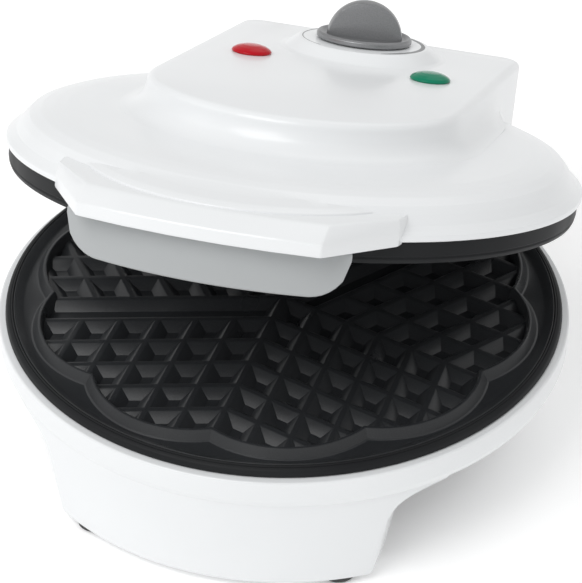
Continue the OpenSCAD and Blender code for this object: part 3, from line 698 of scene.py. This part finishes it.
def make_lid():
    shell = turned("lid_shell", DOME)
    bar, pad = make_handle()
    collar = turned("collar", [(5.6, 30), (31.6, 30), (31.6, 34.5, 0.2), (29.6, 34.8, 2),
                               (25.6, 37.9, 1),
                               (24.5, 38.5, 0.5), (5.6, 38.5)], closed=True)
    settled(collar, Matrix.Translation((0, KNOB_Y * MM, 0)))
    ears = [built_up("ear", [ear_side(34.3, 0.8), ear_side(34.6, 0.25), ear_side(35.2, 0),
                             ear_side(44.4, 0), ear_side(45.0, 0.25), ear_side(45.3, 0.8)])]
    ears.append(copied(ears[0], "left_ear", Matrix.Scale(-1, 4, (1, 0, 0))))
    blended_into(shell, make_platform(), collar, bar, pad, *ears)
    hollow = built_up("hollow", [[(p.x, p.y, z) for p in deck_line(2.4, 94)] for z in (4, 32.1)])
    kept_within(hollow, turned("hollow_wall", [(0, 3), (95.2, 3), (95.2, 40), (0, 40)]))
    room = turned("dome_room", [(0, 3), (95.6, 3), (95.6, 12.5, 2), (91.5, 17.6, 3), (84, 19.4, 4),
                                (70, 20, 4), (0, 20)])
    cut_away(shell, hollow, room,
             round_bar("pin_bore", PIN_BORE_R, (-50, HINGE_Y, HINGE_Z), (50, HINGE_Y, HINGE_Z)),
             round_bar("spindle_bore", 5, (0, KNOB_Y, 28), (0, KNOB_Y, 44)),
             round_bar("red_bore", 4.1, (-LAMP_X, LAMP_Y, 28), (-LAMP_X, LAMP_Y, 44)),
             round_bar("green_bore", 4.1, (LAMP_X, LAMP_Y, 28), (LAMP_X, LAMP_Y, 44)))
    open_mesh(shell)  # the cuts leave doubled points, which close_mesh merges
    close_mesh()
    fitted(shell, IN_LID, "lid", "housing_white", FINISH["housing_white"], "lid_housing", smooth=28)


def make_tongue():
    """The thin guard that hangs under the grip, curved round the mould."""
    half, radius, corner = 47.0, 111.0, 12.0
    top, low = 7.95, -7.05
    bend = [math.asin(half / radius) * (k / 24 - 1) for k in range(49)]
    inner, outer, root, edge = radius - 2.0, radius, 103.2, 0.5

    def drop(x):
        side = abs(x) - (half - corner)
        return low if side <= 0 else low + corner - math.sqrt(max(0.0, corner ** 2 - side ** 2))

    def row(r, z_of):
        return [(r * math.sin(a), -r * math.cos(a), z_of(radius * math.sin(a))) for a in bend]

    def level(z):
        return lambda x: z

    def raised_drop(x):
        return drop(x) + edge

    rows = [row(root, level(top - 2.0)), row(inner - 1.2, level(top - 2.0)),
            row(inner - 0.2, level(top - 2.6)), row(inner, level(top - 3.4)), row(inner, raised_drop),
            row(inner + 0.6, drop), row(outer - 0.6, drop), row(outer, raised_drop),
            row(outer, level(top - 1.0)), row(outer - 0.4, level(top - 0.2)),
            row(outer - 1.2, level(top)), row(root, level(top))]
    rings = [list(ring) for ring in zip(*rows)]
    guard = built_up("guard_tongue", rings)
    # the guard's grey finish is painted shade from the handle above it
    fitted(guard, IN_LID, "lid", "tongue_grey_white", FINISH["tongue_grey_white"], "handle_tongue")


def make_lamps():
    for name, x in (("red_lens", -LAMP_X), ("green_lens", LAMP_X)):
        cap = turned(name + "_cap", [(0, 34.4), (2.6, 33.6, 0.8), (2.6, 27.5), (4, 27.5, 0.2),
                                     (4, 34.55),
                                     (7.2, 34.55, 0.2), (7.5, 35.1, 0.35), (6.9, 35.9, 1.4),
                                     (5.4, 36.7, 2),
                                     (3.4, 37.25, 3), (0, 37.5)], steps=72)
        place = IN_LID @ Matrix.Translation((x * MM, LAMP_Y * MM, 0))
        slot = "lens_red" if x < 0 else "lens_green"
        fitted(cap, place, "lid", slot, FINISH[slot], name)


def make_dial():
    """The heat scale printed round the knob: a ring that thickens from its start to its end."""
    start, end, count = math.radians(-150), math.radians(150), 96
    out_r, low, high = 23.4, 38.46, 38.54
    rings = []
    for k in range(count + 1):
        t = k / count
        a = start + (end - start) * t
        taper = 1 if t < 0.9 else 1 - ((t - 0.9) / 0.1) ** 2 * 0.95
        in_r = out_r - (0.25 + 1.9 * t ** 1.4 * taper)
        facing = (math.sin(a), math.cos(a))
        rings.append([(facing[0] * r, facing[1] * r, z) for r, z in
                      ((in_r, low), (out_r, low), (out_r, high), (in_r, high))])
    ring = built_up("heat_scale", rings)
    place = IN_LID @ Matrix.Translation((0, KNOB_Y * MM, 0))
    fitted(ring, place, "lid", "cover_grey", FINISH["dial_grey"])


# ---- Knob ----

def make_knob():
    skirt = turned("knob", [(0, 38.9), (17.5, 38.9, 0.3), (18, 39.3, 0.3), (18, 40.7, 0.5),
                            (17.3, 41.4, 0.3), (16.6, 41.35, 0.3), (15.6, 40.5, 0.8), (10, 40.1),
                            (0, 40.1)], steps=120)
    ball_r, top, half, root = 14.3, 53.93, 3.5, 39.4
    bpy.ops.object.select_all(action="DESELECT")
    bpy.ops.mesh.primitive_uv_sphere_add(segments=96, ring_count=64, radius=ball_r * MM,
                                         location=(0, 0, (top - ball_r) * MM))
    fin = named("fin")
    bpy.ops.object.transform_apply(location=True, rotation=True, scale=True)
    open_mesh(fin)
    for point, facing in (((0, half, 0), (0, 1, 0)), ((0, -half, 0), (0, -1, 0)),
                          ((0, 0, root), (0, 0, -1))):
        bpy.ops.mesh.select_all(action="SELECT")
        bpy.ops.mesh.bisect(plane_co=Vector(point) * MM, plane_no=facing, use_fill=True,
                            clear_outer=True)
    close_mesh()
    rounded_edges(fin, 0.5, angle=40, steps=3)
    blended_into(skirt, fin)
    cut_away(skirt, round_bar("spindle_socket", 3.02, (0, 0, 38), (0, 0, 47.5)))
    fitted(skirt, IN_KNOB, "knob", "knob_silver", FINISH["knob_silver"], "thermostat_knob", smooth=35)


# ---- Feet, cord inlet and screws ----

def make_feet():
    foot = turned("foot", [(0, -54), (5.3, -54, 0.3), (6, -53.4, 0.4), (6, -51.85, 0.2), (2, -51.85),
                           (1.9, -46, 0.3), (0, -46)], steps=64)
    across, along = 44, 80.68
    for side, left_right in ((-1, "left"), (1, "right")):
        for end, where in ((-1, "front"), (1, "rear")):
            name = f"{where}_foot_{left_right}"
            place = IN_BASE @ Matrix.Translation((side * across * MM, end * along * MM, 0))
            pad = copied(foot, name + "_pad")
            fitted(pad, place, "base", "foot_rubber", FINISH["foot_rubber"], name)
    bpy.data.objects.remove(foot)


def make_inlet():
    low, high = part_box("cord_gland")
    outline = [(3.2, -4.4), (5.4, -4.4, 0.3), (5.4, 0.4), (7.2, 0.45, 0.4), (7.2, 2.4, 0.4),
               (6.0, 2.6, 0.2)]
    for k in range(4):
        z, r = 3.4 + 2.2 * k, 5.9 - 0.38 * k
        outline += [(r, z, 0.2), (r - 0.1, z + 1.0, 0.2), (r - 0.8, z + 1.3, 0.2),
                    (r - 0.9, z + 1.9, 0.2)]
    outline += [(4.5, 12.4, 0.3), (3.2, 12.4)]
    sleeve = turned("cord_sleeve", outline, steps=64, closed=True)
    face = Matrix.Translation(((low.x + high.x) / 2, high.y - 12.4 * MM, (low.z + high.z) / 2))
    fitted(sleeve, face @ Matrix.Rotation(math.radians(-90), 4, "X"), "base", "cover_grey",
           FINISH["cover_grey"], "cord_gland")


def make_screw(shank):
    """A screw with its head below and a cross cut in it."""
    screw = turned("screw", [(0, 0), (1.6, 0.02), (2.3, 0.3, 0.4), (2.6, 0.9, 0.3), (2.6, 1.6),
                             (1.4, 1.6),
                             (1.4, shank - 0.6), (0.8, shank), (0, shank)], steps=40)
    for wide, deep in ((1.5, 0.3), (0.3, 1.5)):
        corners = (-wide, -deep), (wide, -deep), (wide, deep), (-wide, deep)
        cut_away(screw, built_up("cross_slot", [[(x, y, z) for x, y in corners] for z in (-0.5, 0.8)]))
    return screw


SCREW_SETS = {"cover_screws": "base", "bezel_screws": "base", "lower_plate_screws": "base",
              "upper_plate_screws": "lid", "tongue_screws": "lid"}
SAME_SCREW = 8 * MM


def screw_groups(points):
    """The points of a node of several screws, one list to a screw."""
    groups = []
    for p in points:
        for group in groups:
            if (p.xy - group[0].xy).length < SAME_SCREW:
                group.append(p)
                break
        else:
            groups.append([p])
    return groups


def make_screws():
    """A shaped screw for each that the frame has, where it is and as long as it is."""
    for node, body in SCREW_SETS.items():
        place = IN_BASE if body == "base" else IN_LID
        inverse = place.inverted()
        points = [inverse @ v.co for v in frame["nodes"][node].data.vertices]
        head_up = node == "upper_plate_screws"
        screws = []
        for group in screw_groups(points):
            x, y = ((min(q[i] for q in group) + max(q[i] for q in group)) / 2 for i in (0, 1))
            low, high = min(q.z for q in group), max(q.z for q in group)
            where = Matrix.Translation((x, y, high if head_up else low))
            screw = make_screw((high - low) / MM)
            settled(screw, where @ MIRROR_Z if head_up else where)
            screws.append(screw)
        piece = gathered(node + "_set", screws)
        fitted(piece, place, body, "screw_steel", FINISH["screw_steel"], node)


# ---- What the frame already shows as it is ----

KEPT = {"bottom_cover": "cover_grey", "lower_heater": "element_steel", "upper_heater": "element_steel",
        "lower_reflector": "reflector_sheet", "upper_reflector": "reflector_sheet",
        "terminal_block": "ceramic_ivory", "thermal_fuse": "element_steel",
        "thermostat": "ceramic_ivory", "thermostat_bracket": "pin_steel",
        "thermostat_screws": "screw_steel", "thermostat_spindle": "pin_steel",
        "hinge_pin_left": "pin_steel", "hinge_pin_right": "pin_steel", "red_lamp": "lamp_glass",
        "green_lamp": "lamp_glass"}


def finish_kept():
    for node, finish in KEPT.items():
        mesh = frame["nodes"][node].data
        mesh.materials.clear()
        mesh.materials.append(FINISH[finish])


# ---- Table, lights and camera ----

# Each light's name, its place and width in metres, and its power in watts.
LIGHTS = [("front_window", (-0.4, -0.85, 1.35), 0.9, 9.5), ("side_window", (-1.1, -0.3, 0.8), 0.7, 1.0),
          ("bank", (0.2, 1.0, 1.1), 0.9, 1.2)]


def make_stage():
    bpy.ops.object.select_all(action="DESELECT")
    bpy.ops.mesh.primitive_plane_add(size=6)
    floor = named("floor")
    floor.data.materials.append(finish_of("pale_floor", (0.95, 0.95, 0.95), (0.94, 0.94, 0.94),
                                          0.7, 0.8, 300, 0.0, glow=0.2))
    world = bpy.context.scene.world or bpy.data.worlds.new("studio")
    bpy.context.scene.world = world
    world.use_nodes = True
    world.node_tree.nodes["Background"].inputs["Color"].default_value = (1, 1, 1, 1)
    world.node_tree.nodes["Background"].inputs["Strength"].default_value = 0.68
    bpy.context.scene.view_settings.view_transform = "Standard"
    aim = Vector((0, 0, 0.06))
    for name, where, size, watts in LIGHTS:
        data = bpy.data.lights.new(name, "AREA")
        data.size, data.energy = size, watts
        lamp = bpy.data.objects.new(name, data)
        bpy.context.scene.collection.objects.link(lamp)
        lamp.location = where
        lamp.rotation_euler = (aim - Vector(where)).to_track_quat("-Z", "Y").to_euler()


def make_camera():
    around, above, roll = math.radians(16.77), math.radians(35.71), math.radians(0.25)
    away = 0.9
    back = Vector((math.sin(around) * math.cos(above), -math.cos(around) * math.cos(above),
                   math.sin(above)))
    right = Vector((math.cos(around), math.sin(around), 0))
    up = back.cross(right)
    tilted_right = right * math.cos(roll) + up * math.sin(roll)
    tilted_up = up * math.cos(roll) - right * math.sin(roll)
    data = bpy.data.cameras.new("camera")
    data.lens, data.sensor_width = 155.6, 36
    data.shift_x, data.shift_y = 0.012, -0.0045
    camera = bpy.data.objects.new("camera", data)
    bpy.context.scene.collection.objects.link(camera)
    place = Matrix((tilted_right, tilted_up, back)).transposed().to_4x4()
    place.translation = IN_BASE.translation + back * away
    camera.matrix_world = place
    bpy.context.scene.camera = camera


make_base()
make_bezels()
make_plates()
make_lid()
make_tongue()
make_lamps()
make_dial()
make_knob()
make_feet()
make_inlet()
make_screws()
finish_kept()
make_stage()
make_camera()
